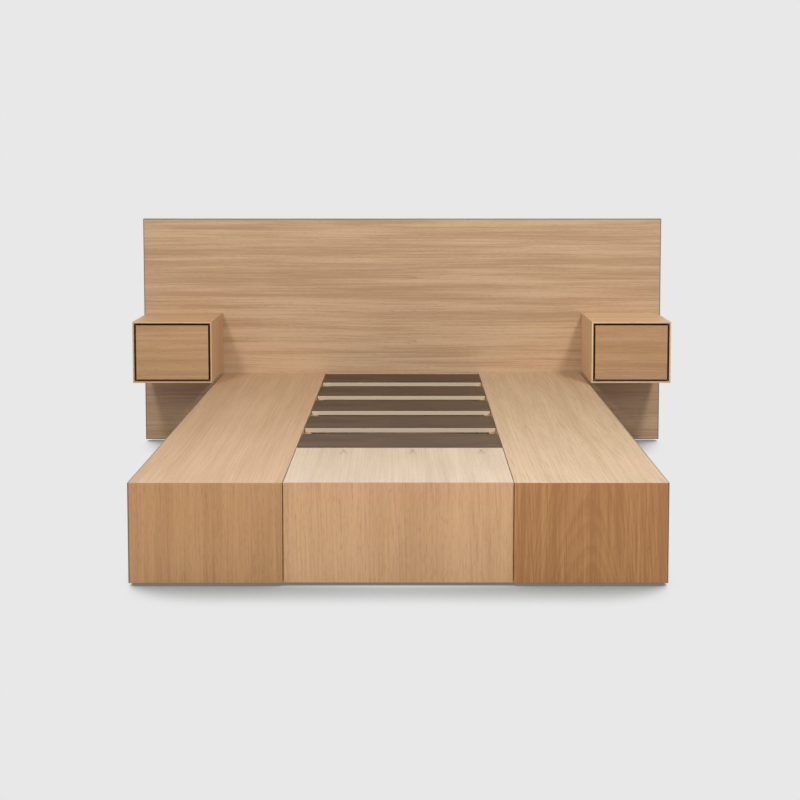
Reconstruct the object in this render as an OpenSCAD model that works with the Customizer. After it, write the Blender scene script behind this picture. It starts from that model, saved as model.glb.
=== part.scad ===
// Platform bed: two storage cases with side drawers, a foot bridge and slats between
// them, and a wide headboard that carries two floating nightstands.
// X runs across the bed, +Y towards the headboard, Z up from the floor.

/* [Bed] */
// Width across both storage cases
bed_w = 1540; // [1300:1:1900]
// Length from the foot face to the headboard
bed_l = 2040; // [1900:1:2500]
// Height of the bed top above the floor
bed_h = 300; // [250:1:400]
// Height of the glides under the panels
glide_h = 10; // [6:1:30]

/* [Boards] */
// Thickness of the mitred case boards
board_t = 20; // [16:1:26]
// Thickness of the inner panels and the drawer fronts
panel_t = 18; // [15:1:24]
// Width of the bevelled edge that a case shows around its drawers
lip = 6; // [3:1:10]
// Shadow gap around a drawer front
shadow_gap = 8; // [4:1:12]
// Thickness of the glue between boards of one frame
glue_line = 0.1; // [0.05:0.05:0.5]

/* [Storage cases] */
// Depth from the outer side to the centre bay
case_d = 440; // [360:1:540]
// Finger gap above the side drawer fronts
finger_gap = 16; // [8:1:30]

/* [Foot bridge] */
// Depth of the bridge top
bridge_d = 478; // [250:1:600]
// Distance that the bridge front sits behind the case fronts
bridge_recess = 4; // [0:1:20]
// Seam beside the bridge
seam_gap = 2; // [1:1:8]

/* [Slats] */
// Width of a slat
slat_w = 230; // [120:1:280]
// Thickness of a slat
slat_t = 15; // [9:1:19]
// Gap between the bridge and the first slat
first_gap = 22; // [5:1:60]
// Gap between the last slat and the headboard
last_gap = 10; // [5:1:60]
// Gap at each end of a slat
slat_end_gap = 2; // [1:1:10]
// Width of the ledger under the slat ends
ledger_w = 25; // [18:1:45]
// Height of the ledger
ledger_h = 40; // [25:1:70]

/* [Headboard] */
// Width of headboard that shows past each nightstand
head_margin = 16; // [0:1:80]
// Height of its top edge above the floor
head_top = 965; // [700:1:1300]
// Thickness of the headboard
head_t = 30; // [24:1:45]

/* [Nightstands] */
// Width of a nightstand
night_w = 322; // [240:1:420]
// Height of a nightstand
night_h = 250; // [180:1:320]
// Depth of a nightstand
night_d = 340; // [260:1:420]
// Height of its underside above the bed top
night_rise = 10; // [4:1:60]
// Gap between a nightstand and the bed
night_gap = 2; // [2:1:60]

/* [Drawers] */
// Thickness of the drawer box boards
box_t = 12; // [9:1:16]
// Thickness of the drawer bottoms
bottom_t = 6; // [4:1:10]
// Clearance under a drawer
under_gap = 8; // [5:1:20]
// Space between a drawer box and the top of its opening
over_gap = 32; // [20:1:60]
// Space behind a closed drawer box
back_gap = 24; // [10:1:60]

/* [Slides] */
// Space for a slide at each side of a drawer
slide_gap = 13; // [12.5:0.5:16]
// Height of the case member of a slide
slide_h = 45; // [35:1:54]
// Sheet thickness of the slide members
sheet_t = 1.2; // [1:0.1:1.6]
// Running clearance between nested slide members
slide_play = 0.5; // [0.3:0.1:1]
// How far each slide member stands in from the one outside it
slide_step = 3; // [2:0.5:3.5]
// Gap between a slide's ends and the drawer front and box ends
slide_end_gap = 5; // [3:1:10]
// Height of the slides' centre line above the underside of the drawer
slide_rise = 62; // [40:1:80]

/* [Fasteners] */
// Thread diameter of the headboard bolts
bolt_d = 8; // [6:1:10]
// Radial clearance around a bolt
bolt_play = 0.3; // [0.1:0.1:1]
// Diameter of the bolt head's washer
washer_d = 22; // [18:1:28]
// Depth of the counterbore for the bolt head
sink = 9; // [7:1:12]
// Depth of thread in the board in front of the headboard
thread_l = 15; // [8:1:15]
// Diameter of a round glide
glide_d = 32; // [24:1:50]
// Gap from a panel's face to the glides under it
glide_inset = 40; // [20:1:120]

/* [Hidden] */
$fn = 48;
SIDES = ["left", "right"];
PLACES = ["foot", "head", "night"];
CASE_PARTS = ["top", "foot_end", "head_end", "base", "inner_side", "divider"];
NIGHT_PARTS = ["nightstand_case", "nightstand_back"];
DRAWER_PARTS = ["front", "box", "bottom", "drawer_rails", "mid_rails"];
SLATS = 5;

oak = [0.80, 0.65, 0.50];
plywood = [0.84, 0.76, 0.64];
film = [0.38, 0.30, 0.24];
steel = [0.70, 0.72, 0.74];
black = [0.12, 0.12, 0.12];

// The whole bed is centred on its own outline
foot_y = -(bed_l + head_t) / 2;
head_y = foot_y + bed_l;
case_h = bed_h - glide_h;
bay_half = bed_w / 2 - case_d;
ledger_top = bed_h - board_t;
bridge_half = bay_half - seam_gap;
bridge_y = foot_y + bridge_recess;
bridge_end = foot_y + bridge_d;
slat_pitch = (bed_l - bridge_d - first_gap - last_gap - slat_w) / (SLATS - 1);
night_x = bed_w / 2 + night_gap + night_w / 2;
head_w = 2 * night_x + night_w + 2 * head_margin;
night_z = bed_h + night_rise;
bevel = board_t - lip;

// Bolt places on the headboard: [x, z] for the right side
bolt_inset = 60;
case_bolts = [
    for (x = [bay_half + bolt_inset, bed_w / 2 - bolt_inset])
    for (z = [glide_h + bolt_inset, bed_h - bolt_inset]) [x, z]
];
night_bolts = [
    for (x = [night_x - night_w / 2 + bolt_inset, night_x + night_w / 2 - bolt_inset])
    for (z = [night_z + bolt_inset, night_z + night_h - bolt_inset]) [x, z]
];

// A drawer is [face x0, face x1, face z0, face z1, opening x0, x1, height, case depth],
// seen from the front of its case, with z from the case's underside
edge_in = lip + shadow_gap;
side_z1 = case_h - lip - finger_gap;
foot_drawer = [
    -bed_l / 2 + edge_in, -shadow_gap / 2, edge_in, side_z1,
    -bed_l / 2 + board_t, -panel_t / 2, case_h, case_d
];
head_drawer = [
    shadow_gap / 2, bed_l / 2 - edge_in, edge_in, side_z1,
    panel_t / 2, bed_l / 2 - board_t, case_h, case_d
];
night_drawer = [
    -night_w / 2 + edge_in, night_w / 2 - edge_in, edge_in, night_h - edge_in,
    -night_w / 2 + board_t, night_w / 2 - board_t, night_h, night_d
];
function drawer_of(place) =
    place == "foot" ? foot_drawer : place == "head" ? head_drawer : night_drawer;
function box_x0(d) = d[4] + slide_gap;
function box_x1(d) = d[5] - slide_gap;
function box_z0() = board_t + under_gap;
function box_z1(d) = d[6] - board_t - over_gap;
function box_d(d) = d[7] - 2 * panel_t - back_gap;

// Slide members, nested in each other between the case wall and the drawer
slide_y = panel_t + slide_end_gap;
mid_h = slide_h - 2 * (sheet_t + slide_play);
inner_h = mid_h - 2 * (sheet_t + slide_play);
function slide_l(d) = box_d(d) - 2 * slide_end_gap;

// Placement: each side is modelled on the right and mirrored to the left
module on_side(side) {
    if (side == "left") mirror([1, 0, 0]) children();
    else children();
}
module in_case() {
    translate([bed_w / 2, foot_y + bed_l / 2, glide_h]) rotate([0, 0, 90]) children();
}
module in_nightstand() {
    translate([night_x, head_y - night_d, night_z]) children();
}
module in_place(place) {
    if (place == "night") in_nightstand() children();
    else in_case() children();
}

// A prism along x from a [y, z] outline
module along_x(x0, x1, outline) {
    translate([x0, 0, 0]) rotate([90, 0, 90]) linear_extrude(x1 - x0) polygon(outline);
}
// A prism along y from an [x, z] outline
module along_y(y0, y1, outline) {
    translate([0, y1, 0]) rotate([90, 0, 0]) linear_extrude(y1 - y0) polygon(outline);
}
module block(x0, x1, y0, y1, z0, z1) {
    translate([x0, y0, z0]) cube([x1 - x0, y1 - y0, z1 - z0]);
}

// A board with mitred ends along x, its outer face on z = 0, and its inner front
// arris bevelled back to the lip
module mitred_board(length, depth, play) {
    half = length / 2 - play;
    intersection() {
        along_y(0, depth, [
            [-half, 0], [half, 0], [half - board_t, board_t], [board_t - half, board_t]
        ]);
        along_x(-half, half, [
            [0, 0], [depth, 0], [depth, board_t], [bevel, board_t], [0, lip]
        ]);
    }
}
module lower_board(length, depth) {
    mitred_board(length, depth, 0);
}
module upper_board(length, depth, height) {
    translate([0, 0, height]) mirror([0, 0, 1]) mitred_board(length, depth, 0);
}
module start_board(length, depth, height, play) {
    translate([-length / 2, 0, height / 2]) rotate([0, 90, 0])
        mitred_board(height, depth, play);
}
module end_board(length, depth, height, play) {
    mirror([1, 0, 0]) start_board(length, depth, height, play);
}

// Bolts and the holes they pass through, pointing from the back of the headboard
module bolt_holes(places) {
    for (p = places) translate([p[0], head_y + head_t, p[1]]) rotate([90, 0, 0]) {
        cylinder(d = bolt_d + 2 * bolt_play, h = head_t + board_t + panel_t);
        translate([0, 0, -1]) cylinder(d = washer_d + 2, h = sink + 1);
    }
}
module bolt() {
    head_d = 1.75 * bolt_d;
    head_h = 0.55 * bolt_d;
    socket_d = 0.7 * bolt_d;
    washer_h = 2;
    rotate([90, 0, 0]) translate([0, 0, sink]) {
        cylinder(d = bolt_d, h = head_t - sink + thread_l);
        translate([0, 0, -washer_h]) cylinder(d = washer_d, h = washer_h);
        translate([0, 0, -washer_h - head_h]) difference() {
            cylinder(d = head_d, h = head_h);
            translate([0, 0, -1]) cylinder(d = socket_d, h = head_h / 2 + 1, $fn = 6);
        }
    }
}

module headboard() {
    color(oak) difference() {
        block(-head_w / 2, head_w / 2, head_y, head_y + head_t, glide_h, head_top);
        for (s = SIDES) on_side(s) bolt_holes(concat(case_bolts, night_bolts));
    }
}
module headboard_bolts() {
    color(steel) for (s = SIDES) on_side(s)
        for (p = concat(case_bolts, night_bolts))
            translate([p[0], head_y + head_t, p[1]]) bolt();
}

// Storage case: a mitred ring of four boards, open at the side, with a back panel
// along the centre bay and a divider
module case_top() {
    color(oak) in_case() upper_board(bed_l, case_d, case_h);
}
module case_base() {
    color(oak) in_case() lower_board(bed_l, case_d);
}
module case_foot_end() {
    color(oak) in_case() start_board(bed_l, case_d, case_h, 0);
}
module case_head_end() {
    color(oak) difference() {
        in_case() end_board(bed_l, case_d, case_h, 0);
        bolt_holes(case_bolts);
    }
}
module case_inner_side() {
    x = bed_l / 2 - board_t;
    color(oak) in_case()
        block(-x, x, case_d - panel_t, case_d, board_t, case_h - board_t);
}
module case_divider() {
    color(oak) in_case() block(-panel_t / 2, panel_t / 2, slide_y,
        case_d - panel_t, board_t, case_h - board_t);
}
module case_part(part) {
    if (part == "top") case_top();
    if (part == "foot_end") case_foot_end();
    if (part == "head_end") case_head_end();
    if (part == "base") case_base();
    if (part == "inner_side") case_inner_side();
    if (part == "divider") case_divider();
}

// Foot bridge: a top and a front, mitred together like the cases
module bridge_top() {
    color(oak) along_x(-bridge_half, bridge_half, [
        [bridge_y, bed_h], [bridge_end, bed_h], [bridge_end, ledger_top],
        [bridge_y + board_t, ledger_top]
    ]);
}
module bridge_front() {
    color(oak) along_x(-bridge_half, bridge_half, [
        [bridge_y, bed_h], [bridge_y + board_t, ledger_top],
        [bridge_y + board_t, glide_h], [bridge_y, glide_h]
    ]);
}
// Corner cleats behind the bridge front and a rail under the back edge of its top
module bridge_frame() {
    y = bridge_y + board_t;
    rail_h = 70;
    color(plywood) {
        for (s = SIDES) on_side(s) block(bay_half - ledger_w, bay_half, y,
            y + ledger_w, glide_h + board_t, ledger_top - ledger_h);
        block(ledger_w - bay_half, bay_half - ledger_w, bridge_end - board_t,
            bridge_end, ledger_top - rail_h, ledger_top);
    }
}

module slat_ledgers() {
    color(plywood) for (s = SIDES) on_side(s)
        block(bay_half - ledger_w, bay_half, bridge_y + board_t, head_y,
            ledger_top - ledger_h, ledger_top);
}
module slat(i) {
    y = bridge_end + first_gap + (i - 1) * slat_pitch;
    half = bay_half - slat_end_gap;
    color(film) block(-half, half, y, y + slat_w, ledger_top, ledger_top + slat_t);
}

// Round glides under the case bases and the headboard
module glide(x, y, d) {
    translate([x, y, 0]) cylinder(d = d, h = glide_h);
}
module glides() {
    inset = glide_d / 2 + glide_inset;
    color(black) for (s = SIDES) on_side(s) {
        for (x = [bay_half + inset, bed_w / 2 - inset])
            for (y = [foot_y + inset, foot_y + bed_l / 2, head_y - inset])
                glide(x, y, glide_d);
        glide(bed_w / 2 - inset, head_y + head_t / 2, head_t);
        glide(bay_half / 2, head_y + head_t / 2, head_t);
    }
}

// Nightstand: the same mitred ring, standing off the headboard
module nightstand_case() {
    color(oak) in_nightstand() {
        lower_board(night_w, night_d);
        upper_board(night_w, night_d, night_h);
        start_board(night_w, night_d, night_h, glue_line);
        end_board(night_w, night_d, night_h, glue_line);
    }
}
module nightstand_back() {
    x = night_w / 2 - board_t;
    color(oak) difference() {
        in_nightstand()
            block(-x, x, night_d - panel_t, night_d, board_t, night_h - board_t);
        bolt_holes(night_bolts);
    }
}
module nightstand_part(part) {
    if (part == "nightstand_case") nightstand_case();
    if (part == "nightstand_back") nightstand_back();
}

// Drawer parts, each in its case's own frame
module drawer_front(d) {
    color(oak) intersection() {
        along_x(d[0], d[1], [
            [0, d[2]], [0, d[3]], [bevel, d[3] - bevel], [panel_t, d[3] - bevel],
            [panel_t, d[2] + bevel], [bevel, d[2] + bevel]
        ]);
        translate([0, 0, d[2]]) linear_extrude(d[3] - d[2]) polygon([
            [d[0], 0], [d[1], 0], [d[1] - bevel, bevel], [d[1] - bevel, panel_t],
            [d[0] + bevel, panel_t], [d[0] + bevel, bevel]
        ]);
    }
}
module drawer_box(d) {
    x0 = box_x0(d);
    x1 = box_x1(d);
    y1 = panel_t + box_d(d);
    z0 = box_z0() + bottom_t;
    z1 = box_z1(d);
    color(plywood) {
        block(x0, x0 + box_t, panel_t, y1, z0, z1);
        block(x1 - box_t, x1, panel_t, y1, z0, z1);
        for (y = [panel_t, y1 - box_t])
            block(x0 + box_t + glue_line, x1 - box_t - glue_line, y, y + box_t, z0, z1);
    }
}
module drawer_bottom(d) {
    color(plywood) block(box_x0(d), box_x1(d), panel_t, panel_t + box_d(d),
        box_z0(), box_z0() + bottom_t);
}
// A channel-shaped slide member: its web and the tips of its flanges stand at the given
// distances from the case wall
module channel(d, web, reach, height) {
    s = reach > web ? sheet_t : -sheet_t;
    top = height / 2;
    translate([0, 0, box_z0() + slide_rise]) along_y(slide_y, slide_y + slide_l(d), [
        [web, -top], [reach, -top], [reach, sheet_t - top], [web + s, sheet_t - top],
        [web + s, top - sheet_t], [reach, top - sheet_t], [reach, top], [web, top]
    ]);
}
// The same member on both walls of an opening
module channel_pair(d, web, reach, height) {
    translate([d[4], 0, 0]) channel(d, web, reach, height);
    translate([d[5], 0, 0]) mirror([1, 0, 0]) channel(d, web, reach, height);
}
module drawer_rails(d) {
    color(steel) channel_pair(d, slide_gap, 2 * slide_step, inner_h);
}
module mid_rails(d) {
    color(steel) channel_pair(d, slide_step, slide_gap - slide_step, mid_h);
}
module case_rails() {
    color(steel) for (s = SIDES) for (place = PLACES)
        on_side(s) in_place(place)
            channel_pair(drawer_of(place), 0, slide_gap - slide_step, slide_h);
}
module drawer_part(d, part) {
    if (part == "front") drawer_front(d);
    if (part == "box") drawer_box(d);
    if (part == "bottom") drawer_bottom(d);
    if (part == "drawer_rails") drawer_rails(d);
    if (part == "mid_rails") mid_rails(d);
}

headboard();
headboard_bolts();
bridge_top();
bridge_front();
bridge_frame();
slat_ledgers();
glides();
case_rails();
for (i = [1:SLATS])
    slat(i);
for (s = SIDES) for (p = CASE_PARTS)
    on_side(s) case_part(p);
for (s = SIDES) for (p = NIGHT_PARTS)
    on_side(s) nightstand_part(p);
for (s = SIDES) for (place = PLACES) for (p = DRAWER_PARTS)
    on_side(s) in_place(place) drawer_part(drawer_of(place), p);
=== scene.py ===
import math

import bmesh
import bpy
from bpy.props import FloatProperty, FloatVectorProperty, IntProperty, PointerProperty
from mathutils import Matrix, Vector


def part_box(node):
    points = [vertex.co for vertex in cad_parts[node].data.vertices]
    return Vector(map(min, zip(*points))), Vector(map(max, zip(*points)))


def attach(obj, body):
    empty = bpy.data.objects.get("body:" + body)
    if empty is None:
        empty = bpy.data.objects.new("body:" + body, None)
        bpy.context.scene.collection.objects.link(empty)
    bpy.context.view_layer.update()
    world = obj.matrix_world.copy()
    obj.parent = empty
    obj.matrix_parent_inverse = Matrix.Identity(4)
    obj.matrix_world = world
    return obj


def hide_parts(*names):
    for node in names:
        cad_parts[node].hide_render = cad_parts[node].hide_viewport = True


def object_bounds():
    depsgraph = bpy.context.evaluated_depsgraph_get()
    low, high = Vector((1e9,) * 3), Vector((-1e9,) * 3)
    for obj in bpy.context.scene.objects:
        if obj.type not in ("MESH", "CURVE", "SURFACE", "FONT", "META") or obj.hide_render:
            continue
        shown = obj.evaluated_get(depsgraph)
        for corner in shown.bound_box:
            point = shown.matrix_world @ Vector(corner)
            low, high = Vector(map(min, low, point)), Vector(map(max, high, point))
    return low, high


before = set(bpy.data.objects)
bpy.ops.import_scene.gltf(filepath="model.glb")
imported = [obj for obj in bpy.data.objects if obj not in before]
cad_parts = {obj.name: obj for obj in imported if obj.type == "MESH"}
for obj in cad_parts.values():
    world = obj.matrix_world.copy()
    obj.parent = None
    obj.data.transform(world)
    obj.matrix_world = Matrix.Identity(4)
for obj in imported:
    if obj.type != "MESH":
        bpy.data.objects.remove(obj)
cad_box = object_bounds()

bl_info = {
    "name": "Platform bed looks",
    "version": (1, 0, 0),
    "blender": (4, 5, 0),
    "location": "3D View > Sidebar > Platform Bed",
    "description": "Finishes, plywood boards, slats, glides and studio for a platform bed",
    "category": "Object",
}

MM = 0.001
SIDES = ("left", "right")
PLACES = ("foot", "head", "night")
CASE_BOARDS = ("top", "foot_end", "head_end", "base", "inner_side", "divider")
SLAT_NODES = sorted(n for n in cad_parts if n.startswith("slat_") and n[-1].isdigit())

# Points closer than this are one point
SAME_POINT = 0.01 * MM
# Width of the dark strip at a veneered face's edges: lipping tone and painted edge shade
LIPPING_AND_EDGE_SHADE_WIDTH = 4.4 * MM
# Arrises of the smaller pieces
BOLT_ARRIS = 0.3 * MM
BOX_ARRIS = 0.35 * MM
BOTTOM_ARRIS = 0.5 * MM
# Sheet thickness of a slide, and how tall its screw heads stand
SLIDE_SHEET = 1.2 * MM
SCREW_HEAD_H = 1.6 * MM
# Shares of a slide's length at which its screws sit
SCREW_SHARES = (0.12, 0.5, 0.88)
# Sideways and upward shift of the lens, which places the bed in the frame
LENS_SHIFT = (-0.0123, -0.178)
# Rays that each shade on the floor is worked out from
SHADE_SAMPLES = 24


# ---------------------------------------------------------------- colours and nodes


def linear(hex_colour):
    """A linear RGBA colour from an sRGB hex value such as "#C8A078"."""
    digits = hex_colour.lstrip("#")
    rgb = [int(digits[i:i + 2], 16) / 255 for i in (0, 2, 4)]
    return tuple(c / 12.92 if c <= 0.04045 else ((c + 0.055) / 1.055) ** 2.4 for c in rgb) + (1.0,)


def add_node(tree, kind, inputs=None, **settings):
    """Adds a node. Each input is either a value or the socket that feeds it."""
    node = tree.nodes.new(kind)
    for name, value in settings.items():
        setattr(node, name, value)
    for name, value in (inputs or {}).items():
        if isinstance(value, bpy.types.NodeSocket):
            tree.links.new(value, node.inputs[name])
        else:
            node.inputs[name].default_value = value
    return node


def maths(tree, operation, *values):
    """The result of a Math node."""
    inputs = dict(enumerate(values))
    return add_node(tree, "ShaderNodeMath", inputs, operation=operation).outputs[0]


def mix_colours(tree, share, first, second, blend_type="MIX"):
    """The first colour, with a share of the second mixed in."""
    # These are the places of a Mix node's colour sockets; its result is at 2
    inputs = {0: share, 6: first, 7: second}
    return add_node(tree, "ShaderNodeMix", inputs, data_type="RGBA",
                    blend_type=blend_type).outputs[2]


def new_material(name):
    """An empty node material and its output node."""
    material = bpy.data.materials.new(name)
    material.use_nodes = True
    tree = material.node_tree
    tree.nodes.clear()
    return material, tree, add_node(tree, "ShaderNodeOutputMaterial")


def give_surface(tree, output, bump, inputs):
    """Links a principled surface to the output. bump is (height, strength, distance)."""
    height, strength, distance = bump
    normal = add_node(tree, "ShaderNodeBump", {
        "Height": height, "Strength": strength, "Distance": distance}).outputs[0]
    shader = add_node(tree, "ShaderNodeBsdfPrincipled", {"Normal": normal, **inputs})
    tree.links.new(shader.outputs[0], output.inputs["Surface"])


# ---------------------------------------------------------------- oak veneer


def oak_veneer_group():
    """Sliced oak veneer: fine straight grain, crown figure, pores and matched leaves.

    The coordinates run along the grain in X, across it in Y and into the board in Z.
    """
    tree = bpy.data.node_groups.new("Oak veneer", "ShaderNodeTree")
    face = tree.interface
    face.new_socket("Vector", in_out="INPUT", socket_type="NodeSocketVector")
    for name in ("Leaf width", "Crown offset", "Ring spacing", "Slope", "Contrast", "Crown", "Flecks",
                 "Seed", "Knot along", "Knot across", "Knot"):
        face.new_socket(name, in_out="INPUT", socket_type="NodeSocketFloat")
    for name in ("Light", "Dark"):
        face.new_socket(name, in_out="INPUT", socket_type="NodeSocketColor")
    face.new_socket("Color", in_out="OUTPUT", socket_type="NodeSocketColor")
    for name in ("Roughness", "Height"):
        face.new_socket(name, in_out="OUTPUT", socket_type="NodeSocketFloat")
    given = add_node(tree, "NodeGroupInput").outputs
    result = add_node(tree, "NodeGroupOutput")

    def calc(operation, *values):
        return maths(tree, operation, *values)

    def ramp(value, low, high, out_low=0.0, out_high=1.0):
        inputs = {0: value, 1: low, 2: high, 3: out_low, 4: out_high}
        return add_node(tree, "ShaderNodeMapRange", inputs,
                        interpolation_type="SMOOTHSTEP").outputs[0]

    def noise(x, y, z, detail, rough=0.5):
        place = add_node(tree, "ShaderNodeCombineXYZ", {0: x, 1: y, 2: z}).outputs[0]
        inputs = {"Vector": place, "Scale": 1.0, "Detail": detail, "Roughness": rough}
        return add_node(tree, "ShaderNodeTexNoise", inputs).outputs[0]

    def swing(value, amount):
        """A noise value turned into a swing about zero."""
        return calc("MULTIPLY", calc("SUBTRACT", value, 0.5), amount)

    axes = add_node(tree, "ShaderNodeSeparateXYZ", {0: given["Vector"]}).outputs
    along, across, depth = axes

    # Leaves sliced from one log lie side by side, so each repeats the last one's figure
    leaf = calc("FLOOR", calc("DIVIDE", across, given["Leaf width"]))
    in_leaf = calc("SUBTRACT", across, calc("MULTIPLY", leaf, given["Leaf width"]))
    centred = calc("SUBTRACT", in_leaf, calc("MULTIPLY", given["Leaf width"], 0.5))
    shift = calc("ADD", calc("MULTIPLY", leaf, 0.012), calc("MULTIPLY", given["Seed"], 3.17))
    run = calc("ADD", along, shift)
    leaf_tone = add_node(tree, "ShaderNodeTexWhiteNoise", {
        "W": calc("ADD", leaf, calc("MULTIPLY", given["Seed"], 7.31))
    }, noise_dimensions="1D").outputs[0]

    # Straight grain: a slow bend, soft bands 40 mm wide, and lines from 8 mm down to 1 mm
    bend = swing(noise(calc("MULTIPLY", run, 1.1), calc("MULTIPLY", across, 2.0),
                       given["Seed"], 1.0), 0.022)
    bent = calc("ADD", across, bend)
    deep = calc("MULTIPLY", depth, 150.0)
    band = noise(calc("MULTIPLY", run, 0.9), calc("MULTIPLY", bent, 26.0), given["Seed"], 1.0)
    line = noise(calc("MULTIPLY", run, 2.2), calc("MULTIPLY", bent, 150.0), deep, 3.0, 0.66)
    patch = noise(calc("MULTIPLY", run, 3.0), calc("MULTIPLY", across, 10.0), given["Seed"], 2.0)
    drift = noise(calc("MULTIPLY", run, 0.7), calc("MULTIPLY", bent, 55.0), given["Seed"], 2.0)

    # Crown figure: rings cut at a shallow slope, so they make long narrow arches
    below = calc("ADD", calc("MULTIPLY_ADD", along, given["Slope"], 0.11),
                 swing(noise(run, calc("MULTIPLY", centred, 5.0), given["Seed"], 2.0), 0.05))
    sideways = calc("ADD", calc("SUBTRACT", centred, given["Crown offset"]), bend)
    radius = calc("SQRT", calc("ADD", calc("MULTIPLY", sideways, sideways),
                               calc("MULTIPLY", below, below)))
    uneven = swing(noise(run, calc("MULTIPLY", radius, 45.0), given["Seed"], 2.0), 0.03)
    ring = calc("FRACT", calc("DIVIDE", calc("ADD", radius, uneven), given["Ring spacing"]))
    late_wood = calc("MULTIPLY", ramp(ring, 0.1, 0.85), ramp(ring, 1.0, 0.85))

    # Pores are short dashes 2 mm wide; flecks are sparse dark lines that lean off the grain
    pore_noise = noise(calc("MULTIPLY", run, 40.0), calc("MULTIPLY", across, 480.0), deep, 2.0)
    pores = ramp(pore_noise, 0.54, 0.70)
    leaning = calc("MULTIPLY_ADD", along, 0.05, bent)
    fleck_noise = noise(calc("MULTIPLY", run, 5.0), calc("MULTIPLY", leaning, 170.0), deep, 1.5)
    flecks = calc("MULTIPLY", ramp(fleck_noise, 0.56, 0.70), given["Flecks"])

    # A small knot with a V of disturbed grain, once in every leaf
    past = calc("SUBTRACT", given["Knot along"], along)
    aside = calc("ABSOLUTE", calc("SUBTRACT", in_leaf, given["Knot across"]))
    branch = calc("ABSOLUTE", calc("SUBTRACT", aside, calc("MULTIPLY", past, 0.16)))
    vee = calc("MULTIPLY", ramp(branch, 0.007, 0.001),
               calc("MULTIPLY", ramp(past, -0.004, 0.006), ramp(past, 0.075, 0.03)))
    centre = calc("SQRT", calc("ADD", calc("MULTIPLY", aside, aside),
                               calc("MULTIPLY", calc("MULTIPLY", past, past), 0.35)))
    knot = calc("MULTIPLY", calc("MAXIMUM", calc("MULTIPLY", vee, 0.4),
                                 ramp(centre, 0.006, 0.002)), given["Knot"])

    dark_share = calc("ADD", swing(line, 1.9), swing(band, 1.3))
    dark_share = calc("MULTIPLY_ADD", dark_share, given["Contrast"], swing(leaf_tone, 0.32))
    dark_share = calc("ADD", dark_share, swing(patch, 0.6))
    dark_share = calc("ADD", dark_share, calc("MULTIPLY", late_wood, given["Crown"]))
    dark_share = calc("ADD", dark_share, calc("ADD", calc("MULTIPLY", flecks, 0.7), 0.34))
    dark_share = calc("ADD", dark_share, calc("MULTIPLY", pores, 0.55))
    mixed = mix_colours(tree, dark_share, given["Light"], given["Dark"])
    knotted = mix_colours(tree, calc("MULTIPLY", knot, 0.6), mixed, linear("#7A5436"))
    # The hue drifts between olive and pink from one growth band to the next
    olive = (0.985, 1.005, 0.96, 1.0)
    pink = (1.015, 0.995, 1.04, 1.0)
    hue = mix_colours(tree, ramp(drift, 0.3, 0.7), olive, pink)
    shaded = mix_colours(tree, 1.0, knotted, hue, "MULTIPLY")
    height = calc("SUBTRACT", calc("MULTIPLY", line, 0.3),
                  calc("ADD", pores, calc("MULTIPLY", flecks, 0.3)))
    tree.links.new(shaded, result.inputs["Color"])
    tree.links.new(ramp(line, 0.2, 0.8, 0.36, 0.48), result.inputs["Roughness"])
    tree.links.new(height, result.inputs["Height"])
    return tree


# How much lighter than a board's middle colour its early wood is, and its late wood darker
EARLY_WOOD = (1.12, 1.15, 1.18, 1.0)
LATE_WOOD = (0.82, 0.76, 0.70, 1.0)

# Turns that bring a board's grain onto X and its width onto Y
QUARTER = math.radians(90)
GRAIN_TURN = {
    "x_flat": (0, 0, 0),
    "x_upright": (-QUARTER, 0, 0),
    "y_flat": (2 * QUARTER, 0, QUARTER),
    "y_upright": (-QUARTER, -QUARTER, 0),
    "z_facing_y": (QUARTER, 0, QUARTER),
    "z_facing_x": (0, QUARTER, 0),
}


def oak(name, grain, seed, tone, leaf=0.22, start=0.0, contrast=1.0, crown=0.0, offset=0.03,
        rings=7.0, slope=0.05, flecks=0.3, knot=None, lipping_and_edge_shade=None):
    """Oak veneer under matt lacquer: dry satin sheen, open pores that catch the light.

    tone is the board's middle colour; late wood is darker and redder, early wood paler.
    leaf, start and offset are in metres, rings in millimetres; knot is (along, across,
    strength). The last argument is {axis: (low, high)}: the faces beside which a dark strip
    is painted, a solid lipping's tone together with painted shade along the edge.
    """
    material, tree, output = new_material(name)
    place = add_node(tree, "ShaderNodeTexCoord").outputs["Object"]
    turned = add_node(tree, "ShaderNodeMapping", {
        "Vector": place, "Rotation": GRAIN_TURN[grain], "Location": (0.0, -start, 0.0)
    }).outputs[0]
    group = bpy.data.node_groups.get("Oak veneer") or oak_veneer_group()
    veneer = add_node(tree, "ShaderNodeGroup", node_tree=group)
    tree.links.new(turned, veneer.inputs["Vector"])
    middle = linear(tone)
    values = {
        "Leaf width": leaf, "Crown offset": offset, "Ring spacing": rings * MM, "Slope": slope,
        "Contrast": contrast, "Crown": crown, "Flecks": flecks, "Seed": seed,
        "Light": [c * k for c, k in zip(middle, EARLY_WOOD)],
        "Dark": [c * k for c, k in zip(middle, LATE_WOOD)],
    }
    if knot is not None:
        values["Knot along"], values["Knot across"], values["Knot"] = knot
    for key, value in values.items():
        veneer.inputs[key].default_value = value
    colour = veneer.outputs["Color"]
    # Painted shade: a dark strip along the given faces, in a lipping's tone, also stands for the
    # shade on the edge
    if lipping_and_edge_shade is not None:
        colour = edge_strip(tree, place, colour, lipping_and_edge_shade)
    give_surface(tree, output, (veneer.outputs["Height"], 0.25, 0.4 * MM), {
        "Base Color": colour, "Roughness": veneer.outputs["Roughness"], "IOR": 1.5})
    return material


def painted_shade_oak():
    """Painted shade: a dark oak on the chamfers inside the shadow gaps round the drawer fronts."""
    return bpy.data.materials.get("painted_gap_shade") or oak(
        "painted_gap_shade", "y_flat", 30.0, "#3B2A1C")


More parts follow.
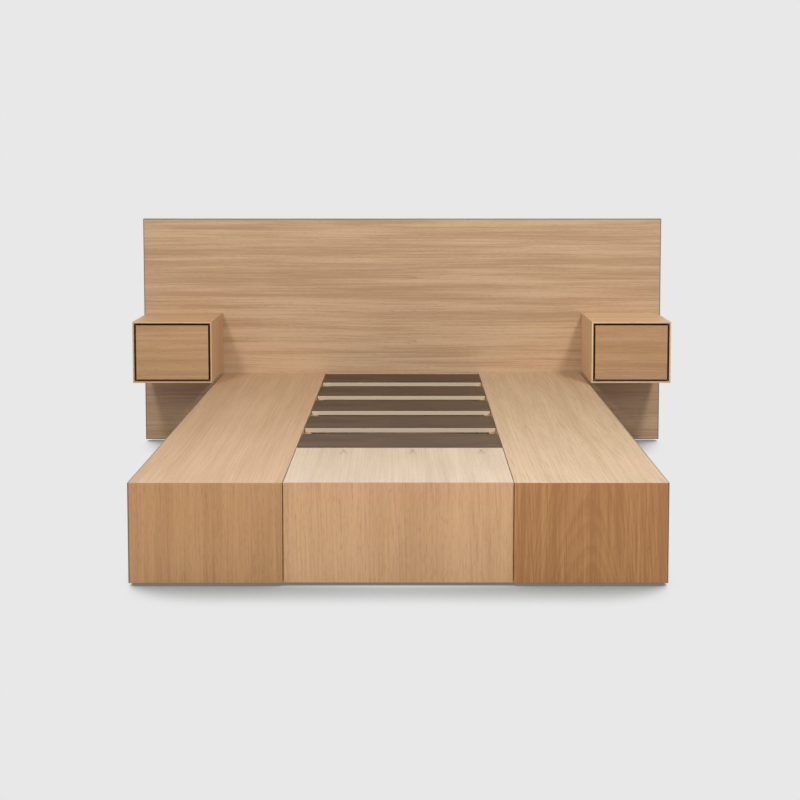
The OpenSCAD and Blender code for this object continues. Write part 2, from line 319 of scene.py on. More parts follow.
def edge_strip(tree, place, colour, faces):
    """Darkens a strip beside the given faces of a panel: a lipping's tone and painted edge shade."""
    axes = add_node(tree, "ShaderNodeSeparateXYZ", {0: place}).outputs
    for axis, (low, high) in faces.items():
        reach = maths(tree, "ABSOLUTE", maths(tree, "SUBTRACT", axes[axis], (low + high) / 2))
        start = (high - low) / 2 - LIPPING_AND_EDGE_SHADE_WIDTH
        strip = add_node(tree, "ShaderNodeMapRange", {
            0: reach, 1: start, 2: start + 1 * MM, 4: 0.85}).outputs[0]
        colour = mix_colours(tree, strip, colour, linear("#74604A"))
    return colour


# ---------------------------------------------------------------- plywood


def plywood(name, face_hex, dark_hex, edge_hex, line_hex, layer, sheen):
    """Plywood whose faces carry a film or a clear lacquer and whose cut edges show its plies.

    It reads the board's own UV maps: "ply", metres along and through the board, and "face",
    metres along and across it; and the attribute "cut", 1 on cut edges. layer is one ply's
    thickness in millimetres.
    """
    material, tree, output = new_material(name)
    ply = add_node(tree, "ShaderNodeUVMap", uv_map="ply").outputs[0]
    cut = add_node(tree, "ShaderNodeAttribute", attribute_name="cut").outputs["Fac"]
    axes = add_node(tree, "ShaderNodeSeparateXYZ", {0: ply}).outputs

    # Faces: broad soft figure and long faint streaks along the board
    board = add_node(tree, "ShaderNodeUVMap", uv_map="face").outputs[0]
    stretch = add_node(tree, "ShaderNodeMapping", {
        "Vector": board, "Scale": (2.5, 40.0, 1.0)}).outputs[0]
    streak = add_node(tree, "ShaderNodeTexNoise", {
        "Vector": stretch, "Scale": 1.0, "Detail": 4.0, "Distortion": 0.3}).outputs[0]
    wide = add_node(tree, "ShaderNodeMapping", {
        "Vector": board, "Scale": (3.0, 9.0, 1.0)}).outputs[0]
    cloud = add_node(tree, "ShaderNodeTexNoise", {
        "Vector": wide, "Scale": 1.0, "Detail": 3.0, "Distortion": 1.2}).outputs[0]
    mottle = add_node(tree, "ShaderNodeMapRange", {
        0: maths(tree, "MULTIPLY", maths(tree, "ADD", streak, cloud), 0.5), 1: 0.35, 2: 0.65
    }).outputs[0]
    face = mix_colours(tree, mottle, linear(face_hex), linear(dark_hex))

    # Edges: alternate plies are long and end grain, with a dark glue line between them
    layers = maths(tree, "DIVIDE", axes[1], layer * MM)
    other = maths(tree, "PINGPONG", layers, 1.0)
    off_glue = maths(tree, "PINGPONG", maths(tree, "FRACT", layers), 0.5)
    glue = add_node(tree, "ShaderNodeMapRange", {0: off_glue, 2: 0.14, 3: 0.55, 4: 0.0}).outputs[0]
    grain = add_node(tree, "ShaderNodeCombineXYZ", {
        0: maths(tree, "MULTIPLY", axes[0], 90.0), 1: maths(tree, "MULTIPLY", axes[1], 900.0)
    }).outputs[0]
    fleck = add_node(tree, "ShaderNodeTexNoise", {
        "Vector": grain, "Scale": 1.0, "Detail": 3.0}).outputs[0]
    tone = maths(tree, "ADD", maths(tree, "MULTIPLY", other, 0.35),
                 maths(tree, "MULTIPLY", fleck, 0.45))
    edge = mix_colours(tree, maths(tree, "MAXIMUM", tone, glue), linear(edge_hex),
                       linear(line_hex))

    rough = add_node(tree, "ShaderNodeMapRange", {0: cut, 3: sheen, 4: 0.75}).outputs[0]
    give_surface(tree, output, (streak, 0.12, 0.3 * MM), {
        "Base Color": mix_colours(tree, cut, face, edge), "Roughness": rough, "IOR": 1.4})
    return material


# ---------------------------------------------------------------- metal and nylon


def zinc_plated_steel():
    """Rolled steel under bright zinc: a pale, slightly blue metal with a fine spangle."""
    material, tree, output = new_material("zinc_plated_steel")
    place = add_node(tree, "ShaderNodeTexCoord").outputs["Object"]
    spangle = add_node(tree, "ShaderNodeTexVoronoi", {"Vector": place, "Scale": 160.0})
    cloud = add_node(tree, "ShaderNodeTexNoise", {
        "Vector": place, "Scale": 25.0, "Detail": 5.0}).outputs[0]
    colour = mix_colours(tree, cloud, linear("#D4D8DA"), linear("#A9AFB4"))
    rough = add_node(tree, "ShaderNodeMapRange", {
        0: cloud, 1: 0.3, 2: 0.7, 3: 0.26, 4: 0.42}).outputs[0]
    give_surface(tree, output, (spangle.outputs["Distance"], 0.05, 0.1 * MM), {
        "Base Color": colour, "Roughness": rough, "Metallic": 1.0})
    return material


def moulded_nylon():
    """Black moulded nylon with the fine spark-eroded texture of its mould."""
    material, tree, output = new_material("moulded_nylon")
    place = add_node(tree, "ShaderNodeTexCoord").outputs["Object"]
    grit = add_node(tree, "ShaderNodeTexNoise", {
        "Vector": place, "Scale": 900.0, "Detail": 2.0}).outputs[0]
    colour = mix_colours(tree, grit, linear("#161616"), linear("#262524"))
    give_surface(tree, output, (grit, 0.3, 0.1 * MM), {
        "Base Color": colour, "Roughness": 0.55, "IOR": 1.53})
    return material


# ---------------------------------------------------------------- meshes


def set_material(node, *materials):
    """Gives a CAD node's object these materials."""
    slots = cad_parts[node].data.materials
    slots.clear()
    for material in materials:
        slots.append(material)


def ease_edges(node, width, segments=2):
    """Softens a CAD node's arrises with live modifiers, as sanding does."""
    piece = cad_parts[node]
    weld = piece.modifiers.new("weld", "WELD")
    weld.merge_threshold = SAME_POINT
    whole = piece.modifiers.new("whole faces", "DECIMATE")
    whole.decimate_type = "DISSOLVE"
    whole.angle_limit = math.radians(1)
    whole.delimit = {"MATERIAL"}
    bevel = piece.modifiers.new("eased arris", "BEVEL")
    bevel.width = width
    bevel.segments = segments
    bevel.limit_method = "ANGLE"
    bevel.angle_limit = math.radians(30)
    bevel.use_clamp_overlap = True
    piece.modifiers.new("flat faces", "WEIGHTED_NORMAL").weight = 100


def paint_shade_on_chamfers(node, axis, slot):
    """Gives a board's chamfered lip, seen only inside the shadow gap, another material: painted
    shade.
    """
    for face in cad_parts[node].data.polygons:
        if 0.5 < abs(face.normal[axis]) < 0.9:
            face.material_index = slot


def solids_of(node):
    """The (lowest corner, highest corner) of each separate solid in a CAD node."""
    mesh = bmesh.new()
    mesh.from_mesh(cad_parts[node].data)
    bmesh.ops.remove_doubles(mesh, verts=mesh.verts, dist=SAME_POINT)
    left = set(mesh.verts)
    boxes = []
    while left:
        island = [left.pop()]
        for vert in island:
            for edge in vert.link_edges:
                other = edge.other_vert(vert)
                if other in left:
                    left.remove(other)
                    island.append(other)
        points = [vert.co for vert in island]
        low = Vector([min(p[i] for p in points) for i in range(3)])
        high = Vector([max(p[i] for p in points) for i in range(3)])
        boxes.append((low, high))
    mesh.free()
    return sorted(boxes, key=lambda b: tuple(round(c, 4) for c in b[0]))


def object_from(mesh, name, material):
    """A finished object from a bmesh, which is freed."""
    data = bpy.data.meshes.new(name)
    mesh.to_mesh(data)
    mesh.free()
    data.materials.append(material)
    piece = bpy.data.objects.new(name, data)
    bpy.context.scene.collection.objects.link(piece)
    return piece


def mark_plies(piece, through, along):
    """Writes the "ply" and "face" UV maps and the "cut" attribute that plywood reads.

    through and along are the axes of the board's thickness and length. A face that isn't
    square to the thickness is a cut edge.
    """
    data = piece.data
    ply = data.uv_layers.new(name="ply")
    flat = data.uv_layers.new(name="face")
    across = 3 - through - along
    cut = data.attributes.new("cut", "FLOAT", "FACE")
    low = min(vert.co[through] for vert in data.vertices)
    for face in data.polygons:
        cut.data[face.index].value = 0.0 if abs(face.normal[through]) > 0.9 else 1.0
        for corner in face.loop_indices:
            place = data.vertices[data.loops[corner].vertex_index].co
            ply.data[corner].uv = (place[along], place[through] - low)
            flat.data[corner].uv = (place[along], place[across])


def outline_board(outline, level, thickness, through, name, material, along):
    """A board from its outline, extruded by its thickness along one axis.

    outline holds (a, b) pairs on the other two axes, in X, Y, Z order.
    """
    flat = [axis for axis in range(3) if axis != through]
    mesh = bmesh.new()
    verts = []
    for a, b in outline:
        place = [0.0, 0.0, 0.0]
        place[flat[0]], place[flat[1]], place[through] = a, b, level
        verts.append(mesh.verts.new(place))
    face = mesh.faces.new(verts)
    grown = bmesh.ops.extrude_face_region(mesh, geom=[face])
    shift = [0.0, 0.0, 0.0]
    shift[through] = thickness
    moved = [item for item in grown["geom"] if isinstance(item, bmesh.types.BMVert)]
    bmesh.ops.translate(mesh, verts=moved, vec=shift)
    bmesh.ops.recalc_face_normals(mesh, faces=mesh.faces)
    piece = object_from(mesh, name, material)
    mark_plies(piece, through, along)
    return piece


def join(pieces, name):
    """One object from several, keeping their UV maps and attributes."""
    with bpy.context.temp_override(active_object=pieces[0], selected_editable_objects=pieces,
                                   selected_objects=pieces, object=pieces[0]):
        bpy.ops.object.join()
    pieces[0].name = name
    return pieces[0]


# ---------------------------------------------------------------- copies and turned shapes


def scatter_tree(name):
    """A tree that puts a template on every point, scaled by the point's "size" attribute."""
    tree = bpy.data.node_groups.new(name, "GeometryNodeTree")
    face = tree.interface
    face.new_socket("Geometry", in_out="INPUT", socket_type="NodeSocketGeometry")
    face.new_socket("Template", in_out="INPUT", socket_type="NodeSocketObject")
    face.new_socket("Material", in_out="INPUT", socket_type="NodeSocketMaterial")
    face.new_socket("Scale", in_out="INPUT", socket_type="NodeSocketFloat").default_value = 1.0
    face.new_socket("Geometry", in_out="OUTPUT", socket_type="NodeSocketGeometry")
    given = add_node(tree, "NodeGroupInput").outputs
    template = add_node(tree, "GeometryNodeObjectInfo", {"Object": given["Template"]},
                        transform_space="ORIGINAL")
    size = add_node(tree, "GeometryNodeInputNamedAttribute", {"Name": "size"},
                    data_type="FLOAT_VECTOR").outputs["Attribute"]
    scale = add_node(tree, "ShaderNodeVectorMath", {0: size, "Scale": given["Scale"]},
                     operation="SCALE").outputs[0]
    placed = add_node(tree, "GeometryNodeInstanceOnPoints", {
        "Points": given["Geometry"], "Instance": template.outputs["Geometry"], "Scale": scale
    }).outputs[0]
    real = add_node(tree, "GeometryNodeRealizeInstances", {"Geometry": placed}).outputs[0]
    coated = add_node(tree, "GeometryNodeSetMaterial", {
        "Geometry": real, "Material": given["Material"]}).outputs[0]
    result = add_node(tree, "NodeGroupOutput")
    tree.links.new(coated, result.inputs["Geometry"])
    return tree


def scatter(name, template, places, material):
    """Copies of a template at (place, size) pairs, as one plain mesh at the origin."""
    mesh = bmesh.new()
    for place, _ in places:
        mesh.verts.new(place)
    points = object_from(mesh, name + "_points", material)
    size = points.data.attributes.new("size", "FLOAT_VECTOR", "POINT")
    for index, (_, scale) in enumerate(places):
        size.data[index].vector = scale
    tree = bpy.data.node_groups.get("Copies on points") or scatter_tree("Copies on points")
    modifier = points.modifiers.new("copies", "NODES")
    modifier.node_group = tree
    sockets = {item.name: item.identifier for item in tree.interface.items_tree
               if item.in_out == "INPUT"}
    modifier[sockets["Template"]] = template
    modifier[sockets["Material"]] = material
    modifier[sockets["Scale"]] = 1.0
    points.update_tag()
    bpy.context.view_layer.update()
    ready = points.evaluated_get(bpy.context.evaluated_depsgraph_get())
    data = bpy.data.meshes.new_from_object(ready)
    data.name = name
    if not data.polygons:
        raise RuntimeError(name + ": the copies made no faces")
    piece = bpy.data.objects.new(name, data)
    bpy.context.scene.collection.objects.link(piece)
    bpy.data.objects.remove(points)
    bpy.data.objects.remove(template)
    return piece


def lathe(profile, steps, name, material):
    """A turned shape about Z from (radius, height) points, first and last on the axis."""
    mesh = bmesh.new()
    verts = [mesh.verts.new((radius, 0.0, height)) for radius, height in profile]
    edges = [mesh.edges.new(pair) for pair in zip(verts, verts[1:])]
    bmesh.ops.spin(mesh, geom=verts + edges, cent=(0, 0, 0), axis=(0, 0, 1),
                   angle=2 * math.pi, steps=steps)
    bmesh.ops.remove_doubles(mesh, verts=mesh.verts, dist=SAME_POINT)
    bmesh.ops.recalc_face_normals(mesh, faces=mesh.faces)
    for face in mesh.faces:
        face.smooth = True
    return object_from(mesh, name, material)


# ---------------------------------------------------------------- drawer boxes and screws


def plain_board(node, material):
    """A sheet of plywood in place of a flat CAD node, with its plies on the edges."""
    low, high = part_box(node)
    outline = [(low.x, low.y), (high.x, low.y), (high.x, high.y), (low.x, high.y)]
    board = outline_board(outline, low.z, high.z - low.z, 2, node + "_board", material, 1)
    soften(board, BOTTOM_ARRIS)
    return board


def soften(piece, width):
    """A live bevel that takes the sharpness off a piece's edges."""
    bevel = piece.modifiers.new("eased arris", "BEVEL")
    bevel.width = width
    bevel.segments = 1
    bevel.limit_method = "ANGLE"
    bevel.angle_limit = math.radians(40)


def comb(length_range, height_range, depth, fingers, starts_full):
    """The outline of a board with box-joint fingers cut into both of its ends."""
    (a, b), (low, high) = length_range, height_range
    step = (high - low) / fingers
    ends = [0.0 if (i % 2 == 0) == starts_full else depth for i in range(fingers)]
    right = []
    left = []
    for i, cut in enumerate(ends):
        right += [(b - cut, low + i * step), (b - cut, low + (i + 1) * step)]
        left += [(a + cut, low + i * step), (a + cut, low + (i + 1) * step)]
    return right + left[::-1]


def finger_jointed_box(node, fingers, material):
    """A drawer box of four boards whose corners interlock, in place of a CAD node."""
    low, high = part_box(node)
    thickness = min(min(top - bottom) for bottom, top in solids_of(node))
    heights = (low.z, high.z)
    pieces = []
    for through, along in ((0, 1), (1, 0)):
        outline = comb((low[along], high[along]), heights, thickness, fingers, through == 0)
        for level in (low[through], high[through] - thickness):
            pieces.append(outline_board(outline, level, thickness, through,
                                        f"{node}_{through}_{level:.3f}", material, along))
    box = join(pieces, node + "_fingers")
    soften(box, BOX_ARRIS)
    return box


def slide_screws(node, name, radius, runs_along_y, material):
    """Pan-head screws in the web of each drawer member, three to a member."""
    # (share of the radius, share of the height): a round recess, then the dome and the seat
    shares = [(0.0, 0.35), (0.28, 0.35), (0.34, 1.0), (0.7, 0.85), (0.95, 0.35), (1.0, 0.0),
              (0.0, 0.0)]
    profile = [(radius * out, SCREW_HEAD_H * up) for out, up in shares]
    template = lathe(profile, 20, name + "_template", material)
    across = 0 if runs_along_y else 1
    rails = solids_of(node)
    middle = sum((low[across] + high[across]) / 2 for low, high in rails) / len(rails)
    turn_up = Vector((0, 0, 1))
    pieces = []
    for index, (low, high) in enumerate(rails):
        centre = (low + high) / 2
        outward = -1 if centre[across] < middle else 1
        web = (high if outward < 0 else low)[across] + outward * SLIDE_SHEET
        facing = Vector((0, 0, 0))
        facing[across] = outward
        turned = template.data.copy()
        turned.transform(turn_up.rotation_difference(facing).to_matrix().to_4x4())
        copy = bpy.data.objects.new(f"{name}_template_{index}", turned)
        bpy.context.scene.collection.objects.link(copy)
        places = []
        along = 1 - across
        for share in SCREW_SHARES:
            place = centre.copy()
            place[across] = web
            place[along] = low[along] + share * (high[along] - low[along])
            places.append((place, (1.0, 1.0, 1.0)))
        pieces.append(scatter(f"{name}_{index}", copy, places, material))
    bpy.data.objects.remove(template)
    return join(pieces, name)


# ---------------------------------------------------------------- floor and light


def pale_floor(colour, fill, headboard_y):
    """Seamless paper that stays even in tone and falls into shade around and under things.

    The shade leans towards the headboard from both of its sides, as if the light stood over
    the bed.
    """
    material, tree, output = new_material("seamless_paper")
    place = add_node(tree, "ShaderNodeNewGeometry").outputs["Position"]
    along = add_node(tree, "ShaderNodeSeparateXYZ", {0: place}).outputs["Y"]
    behind = maths(tree, "GREATER_THAN", along, headboard_y)
    lean = add_node(tree, "ShaderNodeMapRange", {0: behind, 3: 0.8, 4: -0.8}).outputs[0]
    towards = add_node(tree, "ShaderNodeCombineXYZ", {1: lean, 2: 0.6}).outputs[0]
    near = add_node(tree, "ShaderNodeAmbientOcclusion", {
        "Distance": 0.30, "Normal": towards}, samples=SHADE_SAMPLES).outputs["AO"]
    above = add_node(tree, "ShaderNodeAmbientOcclusion", {
        "Distance": 0.5}, samples=SHADE_SAMPLES).outputs["AO"]
    open_near = add_node(tree, "ShaderNodeMapRange", {0: near, 1: 0.23, 2: 0.62}).outputs[0]
    open_above = add_node(tree, "ShaderNodeMapRange", {0: above, 1: 0.245, 2: 0.55}).outputs[0]
    tone = mix_colours(tree, maths(tree, "MINIMUM", open_near, open_above),
                       linear("#75726F"), colour)
    glow = add_node(tree, "ShaderNodeEmission", {
        "Color": tone, "Strength": dimmed_for_bounces(tree, fill)})
    tree.links.new(glow.outputs[0], output.inputs["Surface"])
    return material


def dimmed_for_bounces(tree, fill):
    """Full strength where it is seen, and only the fill strength where it lights things."""
    lighting = add_node(tree, "ShaderNodeLightPath").outputs["Is Diffuse Ray"]
    return add_node(tree, "ShaderNodeMapRange", {0: lighting, 3: 1.0, 4: fill}).outputs[0]


def even_light(scene, colour, fill):
    """An even pale surround, which looks as bright as the floor and lights a little less."""
    world = bpy.data.worlds.new("surround")
    world.use_nodes = True
    tree = world.node_tree
    tree.nodes.clear()
    glow = add_node(tree, "ShaderNodeBackground", {
        "Color": colour, "Strength": dimmed_for_bounces(tree, fill)})
    output = add_node(tree, "ShaderNodeOutputWorld")
    tree.links.new(glow.outputs[0], output.inputs["Surface"])
    scene.world = world


def softbox(name, place, target, size, power):
    """A rectangular area light that faces a target."""
    light = bpy.data.lights.new(name, "AREA")
    light.shape = "RECTANGLE"
    light.size, light.size_y = size
    light.energy = power
    lamp = bpy.data.objects.new(name, light)
    lamp.location = place
    lamp.rotation_euler = (Vector(target) - Vector(place)).to_track_quat("-Z", "Y").to_euler()
    bpy.context.scene.collection.objects.link(lamp)


# ---------------------------------------------------------------- properties


class BedSizes(bpy.types.PropertyGroup):
    """Sizes that the finish adds to the frame."""

    arris: FloatProperty(
        name="Arris", description="Radius sanded onto the oak boards' edges",
        default=0.8 * MM, min=0.2 * MM, max=3 * MM, unit="LENGTH")
    slat_arris: FloatProperty(
        name="Slat arris", description="Chamfer sawn on the slats' edges",
        default=0.6 * MM, min=0.2 * MM, max=2 * MM, unit="LENGTH")
    fingers: IntProperty(
        name="Fingers", description="Fingers in each corner of a drawer box, an odd number",
        default=9, min=3, max=21)
    screw_head: FloatProperty(
        name="Screw head", description="Diameter of the screws in the slides",
        default=7 * MM, min=4 * MM, max=10 * MM, unit="LENGTH")


class BedStudio(bpy.types.PropertyGroup):
    """The camera and the light."""

    distance: FloatProperty(
        name="Distance", description="From the camera to the foot of the bed",
        default=3.8445, min=1.0, unit="LENGTH")
    height: FloatProperty(
        name="Height", description="Height of the camera above the floor",
        default=1.2094, min=0.1, unit="LENGTH")
    aside: FloatProperty(
        name="Aside", description="How far the camera stands right of the middle",
        default=0.0328, unit="LENGTH")
    tilt: FloatProperty(
        name="Tilt", description="How far the camera looks down",
        default=math.radians(4), unit="ROTATION")
    lens: FloatProperty(
        name="Lens", description="Focal length in millimetres on a 36 mm sensor",
        default=61.83, min=10.0)
    backdrop: FloatVectorProperty(
        name="Backdrop", description="Colour of the floor and the backdrop", subtype="COLOR",
        default=linear("#E8E8E8")[:3], min=0.0, max=1.0)
    key_power: FloatProperty(
        name="Key light", description="Power of each overhead softbox in watts",
        default=62.0, min=0.0)
    balance: FloatProperty(
        name="Balance", description="Share by which the right key light gains and the left one loses",
        default=0.16, min=-1.0, max=1.0)
    front_power: FloatProperty(
        name="Front light", description="Power of the softbox behind the camera in watts",
        default=60.0, min=0.0)
    fill: FloatProperty(
        name="Fill", description="Strength of the even light from all round",
        default=0.40, min=0.0)


# ---------------------------------------------------------------- operators


class BED_OT_headboard(bpy.types.Operator):
    """Veneers the headboard and plates the bolts sunk in its back"""

    bl_idname = "bed.headboard"
    bl_label = "Headboard"

    def execute(self, context):
        low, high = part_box("headboard")
        # A dark strip round the headboard's edges: lipping tone together with painted shade on the
        # edge
        set_material("headboard", oak(
            "oak_veneer_headboard", "x_upright", 1.0, "#BB9A78", leaf=0.273, start=0.03,
            contrast=1.5, crown=0.10, offset=0.2, rings=9.0, flecks=0.35,
            knot=(0.055, 0.136, 0.6), lipping_and_edge_shade={0: (low.x, high.x), 2: (low.z, high.z)}))
        ease_edges("headboard", context.scene.bed_sizes.arris)
        set_material("headboard_bolts", zinc_plated_steel())
        ease_edges("headboard_bolts", BOLT_ARRIS, segments=1)
        return {"FINISHED"}


class BED_OT_storage_cases(bpy.types.Operator):
    """Veneers the boards of both storage cases"""

    bl_idname = "bed.storage_cases"
    bl_label = "Storage cases"

    def execute(self, context):
        # The outer faces of both cases, where a dark strip of lipping tone and painted edge shade
        # runs
        outer = {0: (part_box("left_top")[0].x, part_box("right_top")[1].x)}
        for seed, side in enumerate(SIDES):
            if side == "left":
                top = oak("oak_veneer_left_top", "y_flat", 2.0, "#BA9875", leaf=0.147,
                          start=-0.77, contrast=0.75, crown=0.05, offset=0.1, flecks=0.15,
                          lipping_and_edge_shade=outer)
                end = oak("oak_veneer_left_foot_end", "z_facing_y", 4.0, "#C29264",
                          leaf=0.4, start=-0.79, contrast=0.8, crown=0.10, offset=0.2,
                          flecks=0.4, lipping_and_edge_shade=outer)
            else:
                top = oak("oak_veneer_right_top", "y_flat", 3.0, "#C0A483", leaf=0.22,
                          start=0.33, contrast=0.7, crown=0.14, offset=0.16, flecks=1.0,
                          lipping_and_edge_shade=outer)
                end = oak("oak_veneer_right_foot_end", "z_facing_y", 5.0, "#B98452",
                          leaf=0.5, start=0.33, contrast=1.25, crown=0.3, offset=-0.05,
                          rings=10.0, slope=0.12, flecks=1.0, lipping_and_edge_shade=outer)
            upright = oak(f"oak_veneer_{side}_inside", "y_upright", 6.0 + seed, "#BD9A76")
            # The chamfers inside the shadow gaps get a dark oak: painted shade
            chamfer_shade = painted_shade_oak()
            looks = {"top": top, "foot_end": end, "head_end": end, "base": top,
                     "inner_side": upright, "divider": end}
            for board in CASE_BOARDS:
                set_material(f"{side}_{board}", looks[board], chamfer_shade)
                if board not in ("inner_side", "divider"):
                    paint_shade_on_chamfers(f"{side}_{board}", 0, 1)
                ease_edges(f"{side}_{board}", context.scene.bed_sizes.arris)
        return {"FINISHED"}


class BED_OT_foot_bridge(bpy.types.Operator):
    """Veneers the foot bridge and dresses its cleats and the slat ledgers"""

    bl_idname = "bed.foot_bridge"
    bl_label = "Foot bridge"

    def execute(self, context):
        _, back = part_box("bridge_top")
        set_material("bridge_top", oak(
            "oak_veneer_bridge_top", "y_flat", 8.0, "#C0AC93", leaf=0.216, start=-0.272,
            contrast=0.6, flecks=0.1, knot=(back.y - 0.035, 0.097, 1.5)))
        set_material("bridge_front", oak(
            "oak_veneer_bridge_front", "z_facing_y", 9.0, "#D5A77B", leaf=0.216,
            start=-0.30, contrast=0.5, crown=0.06, offset=0.17, flecks=0.5))
        batten = oak("solid_oak_battens", "y_flat", 10.0, "#B58D63", leaf=3.0, crown=0.3,
                     offset=0.2, rings=5.0)
        set_material("bridge_frame", batten)
        set_material("slat_ledgers", batten)
        for node in ("bridge_top", "bridge_front", "bridge_frame", "slat_ledgers"):
            ease_edges(node, context.scene.bed_sizes.arris)
        return {"FINISHED"}


class BED_OT_slats(bpy.types.Operator):
    """Cuts the film-faced plywood slats and lays them on their ledgers"""

    bl_idname = "bed.slats"
    bl_label = "Slats"

    def execute(self, context):
        film = plywood("film_faced_plywood", "#58422B", "#33271B", "#E6D6BE", "#8C6F4E",
                       layer=1.5, sheen=0.58)
        low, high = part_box(SLAT_NODES[0])
        size = high - low
        half = size / 2
        mesh = bmesh.new()
        bmesh.ops.create_cube(mesh, size=1.0)
        bmesh.ops.scale(mesh, vec=size, verts=mesh.verts)
        bmesh.ops.bevel(mesh, geom=mesh.edges[:], offset=context.scene.bed_sizes.slat_arris,
                        segments=1, affect="EDGES")
        template = object_from(mesh, "slat_template", film)
        mark_plies(template, through=2, along=0)
        places = [(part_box(node)[0] + half, (1.0, 1.0, 1.0)) for node in SLAT_NODES]
        slats = scatter("slats", template, places, film)
        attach(slats, "frame")
        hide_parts(*SLAT_NODES)
        return {"FINISHED"}


class BED_OT_nightstands(bpy.types.Operator):
    """Veneers both nightstands, with the grain following each mitred board"""

    bl_idname = "bed.nightstands"
    bl_label = "Nightstands"

    def execute(self, context):
        for seed, side in enumerate(SIDES):
            tone = "#C49E75" if side == "left" else "#D8B48D"
            flat = oak(f"oak_veneer_{side}_nightstand", "x_flat", 11.0 + seed, tone)
            upright = oak(f"oak_veneer_{side}_nightstand_sides", "z_facing_x",
                          13.0 + seed, tone)
            node = f"{side}_nightstand_case"
            # The third material is the dark painted shade for the chamfers in the shadow gap
            set_material(node, flat, upright, painted_shade_oak())
            low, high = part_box(node)
            centre, half = (low + high) / 2, (high - low) / 2
            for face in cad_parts[node].data.polygons:
                away = face.center - centre
                is_side = half.x - abs(away.x) < half.z - abs(away.z)
                face.material_index = 1 if is_side else 0
            # The chamfers inside the shadow gap get the dark painted shade
            paint_shade_on_chamfers(node, 1, 2)
            set_material(f"{side}_nightstand_back", flat)
            for name in (node, f"{side}_nightstand_back"):
                ease_edges(name, context.scene.bed_sizes.arris)
        return {"FINISHED"}


class BED_OT_drawers(bpy.types.Operator):
    """Veneers the six drawer fronts and builds their finger-jointed plywood boxes"""

    bl_idname = "bed.drawers"
    bl_label = "Drawers"

    def execute(self, context):
        sizes = context.scene.bed_sizes
        birch = plywood("birch_plywood", "#E6CFA8", "#D2B486", "#E8D4B0", "#A5825A",
                        layer=1.4, sheen=0.5)
        for seed, side in enumerate(SIDES):
            for place in PLACES:
                front = f"{side}_{place}_front"
                grain = "x_upright" if place == "night" else "y_upright"
                set_material(front, oak(
                    "oak_veneer_" + front, grain, 20.0 + seed + 2 * PLACES.index(place),
                    "#B38C64" if place == "night" else "#C99C6E", leaf=0.3,
                    start=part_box(front)[0].z - 0.004, crown=0.08, offset=0.16))
                ease_edges(front, sizes.arris)
                body = f"{side}_{place}_drawer"
                box = finger_jointed_box(f"{side}_{place}_box", sizes.fingers, birch)
                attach(box, body)
                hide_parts(f"{side}_{place}_box")
                bottom = plain_board(f"{side}_{place}_bottom", birch)
                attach(bottom, body)
                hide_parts(f"{side}_{place}_bottom")
        return {"FINISHED"}


class BED_OT_slides(bpy.types.Operator):
    """Plates the slide members and screws the drawer members to their boxes"""

    bl_idname = "bed.slides"
    bl_label = "Slides"

    def execute(self, context):
        zinc = bpy.data.materials["zinc_plated_steel"]
        set_material("case_rails", zinc)
        radius = context.scene.bed_sizes.screw_head / 2
        for side in SIDES:
            for place in PLACES:
                start = f"{side}_{place}_"
                set_material(start + "mid_rails", zinc)
                set_material(start + "drawer_rails", zinc)
                screws = slide_screws(start + "drawer_rails", start + "slide_screws",
                                      radius, place == "night", zinc)
                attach(screws, start + "drawer")
        return {"FINISHED"}


class BED_OT_glides(bpy.types.Operator):
    """Turns the round nylon glides under the cases and the headboard"""

    bl_idname = "bed.glides"
    bl_label = "Glides"

    def execute(self, context):
        nylon = moulded_nylon()
        # A unit glide, 1 wide and 1 tall: a domed foot, a waist and a flange on top
        profile = [(0.0, 0.0), (0.36, 0.0), (0.43, 0.06), (0.46, 0.18), (0.46, 0.55),
                   (0.44, 0.62), (0.44, 0.72), (0.5, 0.78), (0.5, 1.0), (0.0, 1.0)]
        template = lathe(profile, 40, "glide_template", nylon)
        places = []
        for low, high in solids_of("glides"):
            size = high - low
            places.append((((low.x + high.x) / 2, (low.y + high.y) / 2, low.z), tuple(size)))
        glides = scatter("glides_turned", template, places, nylon)
        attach(glides, "frame")
        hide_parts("glides")
        return {"FINISHED"}


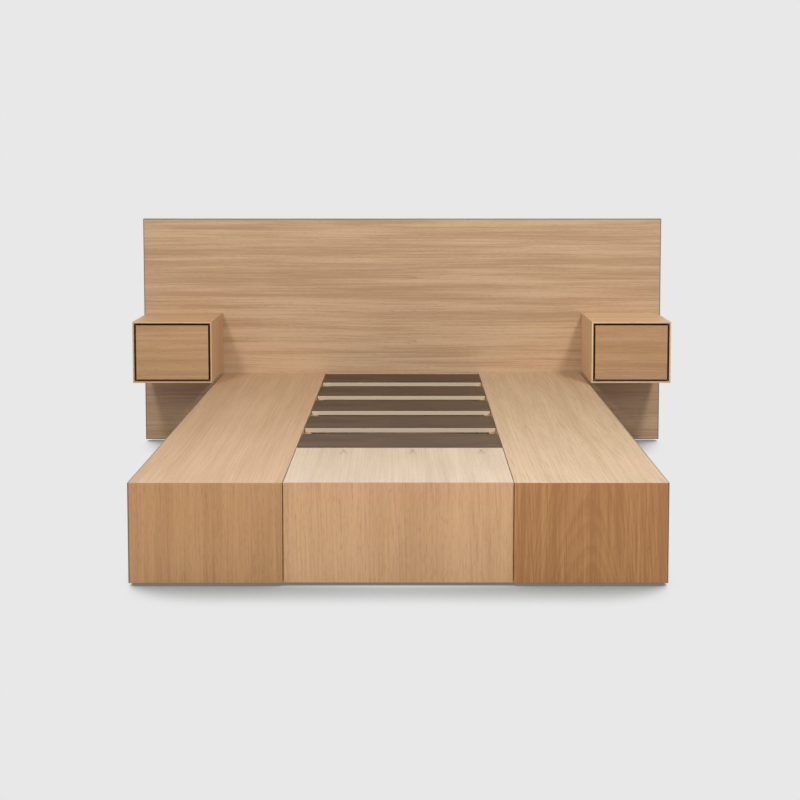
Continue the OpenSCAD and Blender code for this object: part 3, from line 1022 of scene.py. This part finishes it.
class BED_OT_studio(bpy.types.Operator):
    """Sets the floor, the soft light and the camera"""

    bl_idname = "bed.studio"
    bl_label = "Studio"

    def execute(self, context):
        studio = context.scene.bed_studio
        low, high = cad_box
        colour = tuple(studio.backdrop) + (1.0,)
        panel_low, panel_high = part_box("headboard")
        floor_material = pale_floor(colour, studio.fill, (panel_low.y + panel_high.y) / 2)
        mesh = bmesh.new()
        bmesh.ops.create_circle(mesh, cap_ends=True, segments=96, radius=60.0)
        floor = object_from(mesh, "floor", floor_material)
        even_light(context.scene, colour, studio.fill)

        for side in (-1, 1):
            softbox(f"softbox_{side}", (side * 1.7, low.y - 0.9, 3.0), (0.0, 0.0, 0.3),
                    (0.5, 0.5), studio.key_power * (1 + side * studio.balance))
        softbox("softbox_front", (0.0, low.y - 4.0, 2.6), (0.0, low.y, 0.3), (3.4, 1.6),
                studio.front_power)
        softbox("softbox_back", (0.0, high.y + 4.0, 2.4), (0.0, high.y, 0.5), (3.4, 1.6),
                studio.front_power * 0.4)

        lens = bpy.data.cameras.new("camera")
        lens.sensor_width = 36.0
        lens.lens = studio.lens
        lens.shift_x, lens.shift_y = LENS_SHIFT
        camera = bpy.data.objects.new("camera", lens)
        camera.location = (studio.aside, low.y - studio.distance, studio.height)
        camera.rotation_euler = (math.radians(90) - studio.tilt, 0.0, 0.0)
        context.scene.collection.objects.link(camera)
        context.scene.camera = camera
        context.scene.view_settings.view_transform = "Standard"
        return {"FINISHED"}


class BED_PT_panel(bpy.types.Panel):
    """Lists the steps that finish the bed"""

    bl_idname = "BED_PT_panel"
    bl_label = "Platform Bed"
    bl_space_type = "VIEW_3D"
    bl_region_type = "UI"
    bl_category = "Platform Bed"

    def draw(self, context):
        for group in (context.scene.bed_sizes, context.scene.bed_studio):
            for name in group.__annotations__:
                self.layout.prop(group, name)
        for step in STEPS:
            self.layout.operator(step.bl_idname)


STEPS = (
    BED_OT_studio,
    BED_OT_headboard,
    BED_OT_storage_cases,
    BED_OT_foot_bridge,
    BED_OT_slats,
    BED_OT_nightstands,
    BED_OT_drawers,
    BED_OT_slides,
    BED_OT_glides,
)
CLASSES = (BedSizes, BedStudio, BED_PT_panel) + STEPS


def register():
    """Registers the classes and puts their properties on the scene."""
    for cls in CLASSES:
        bpy.utils.register_class(cls)
    bpy.types.Scene.bed_sizes = PointerProperty(type=BedSizes)
    bpy.types.Scene.bed_studio = PointerProperty(type=BedStudio)


def unregister():
    """Takes the properties and the classes away again."""
    del bpy.types.Scene.bed_studio
    del bpy.types.Scene.bed_sizes
    for cls in reversed(CLASSES):
        bpy.utils.unregister_class(cls)


def main():
    """Runs every step in order."""
    register()
    bpy.ops.bed.studio()
    bpy.ops.bed.headboard()
    bpy.ops.bed.storage_cases()
    bpy.ops.bed.foot_bridge()
    bpy.ops.bed.slats()
    bpy.ops.bed.nightstands()
    bpy.ops.bed.drawers()
    bpy.ops.bed.slides()
    bpy.ops.bed.glides()


if __name__ == "__main__":
    main()
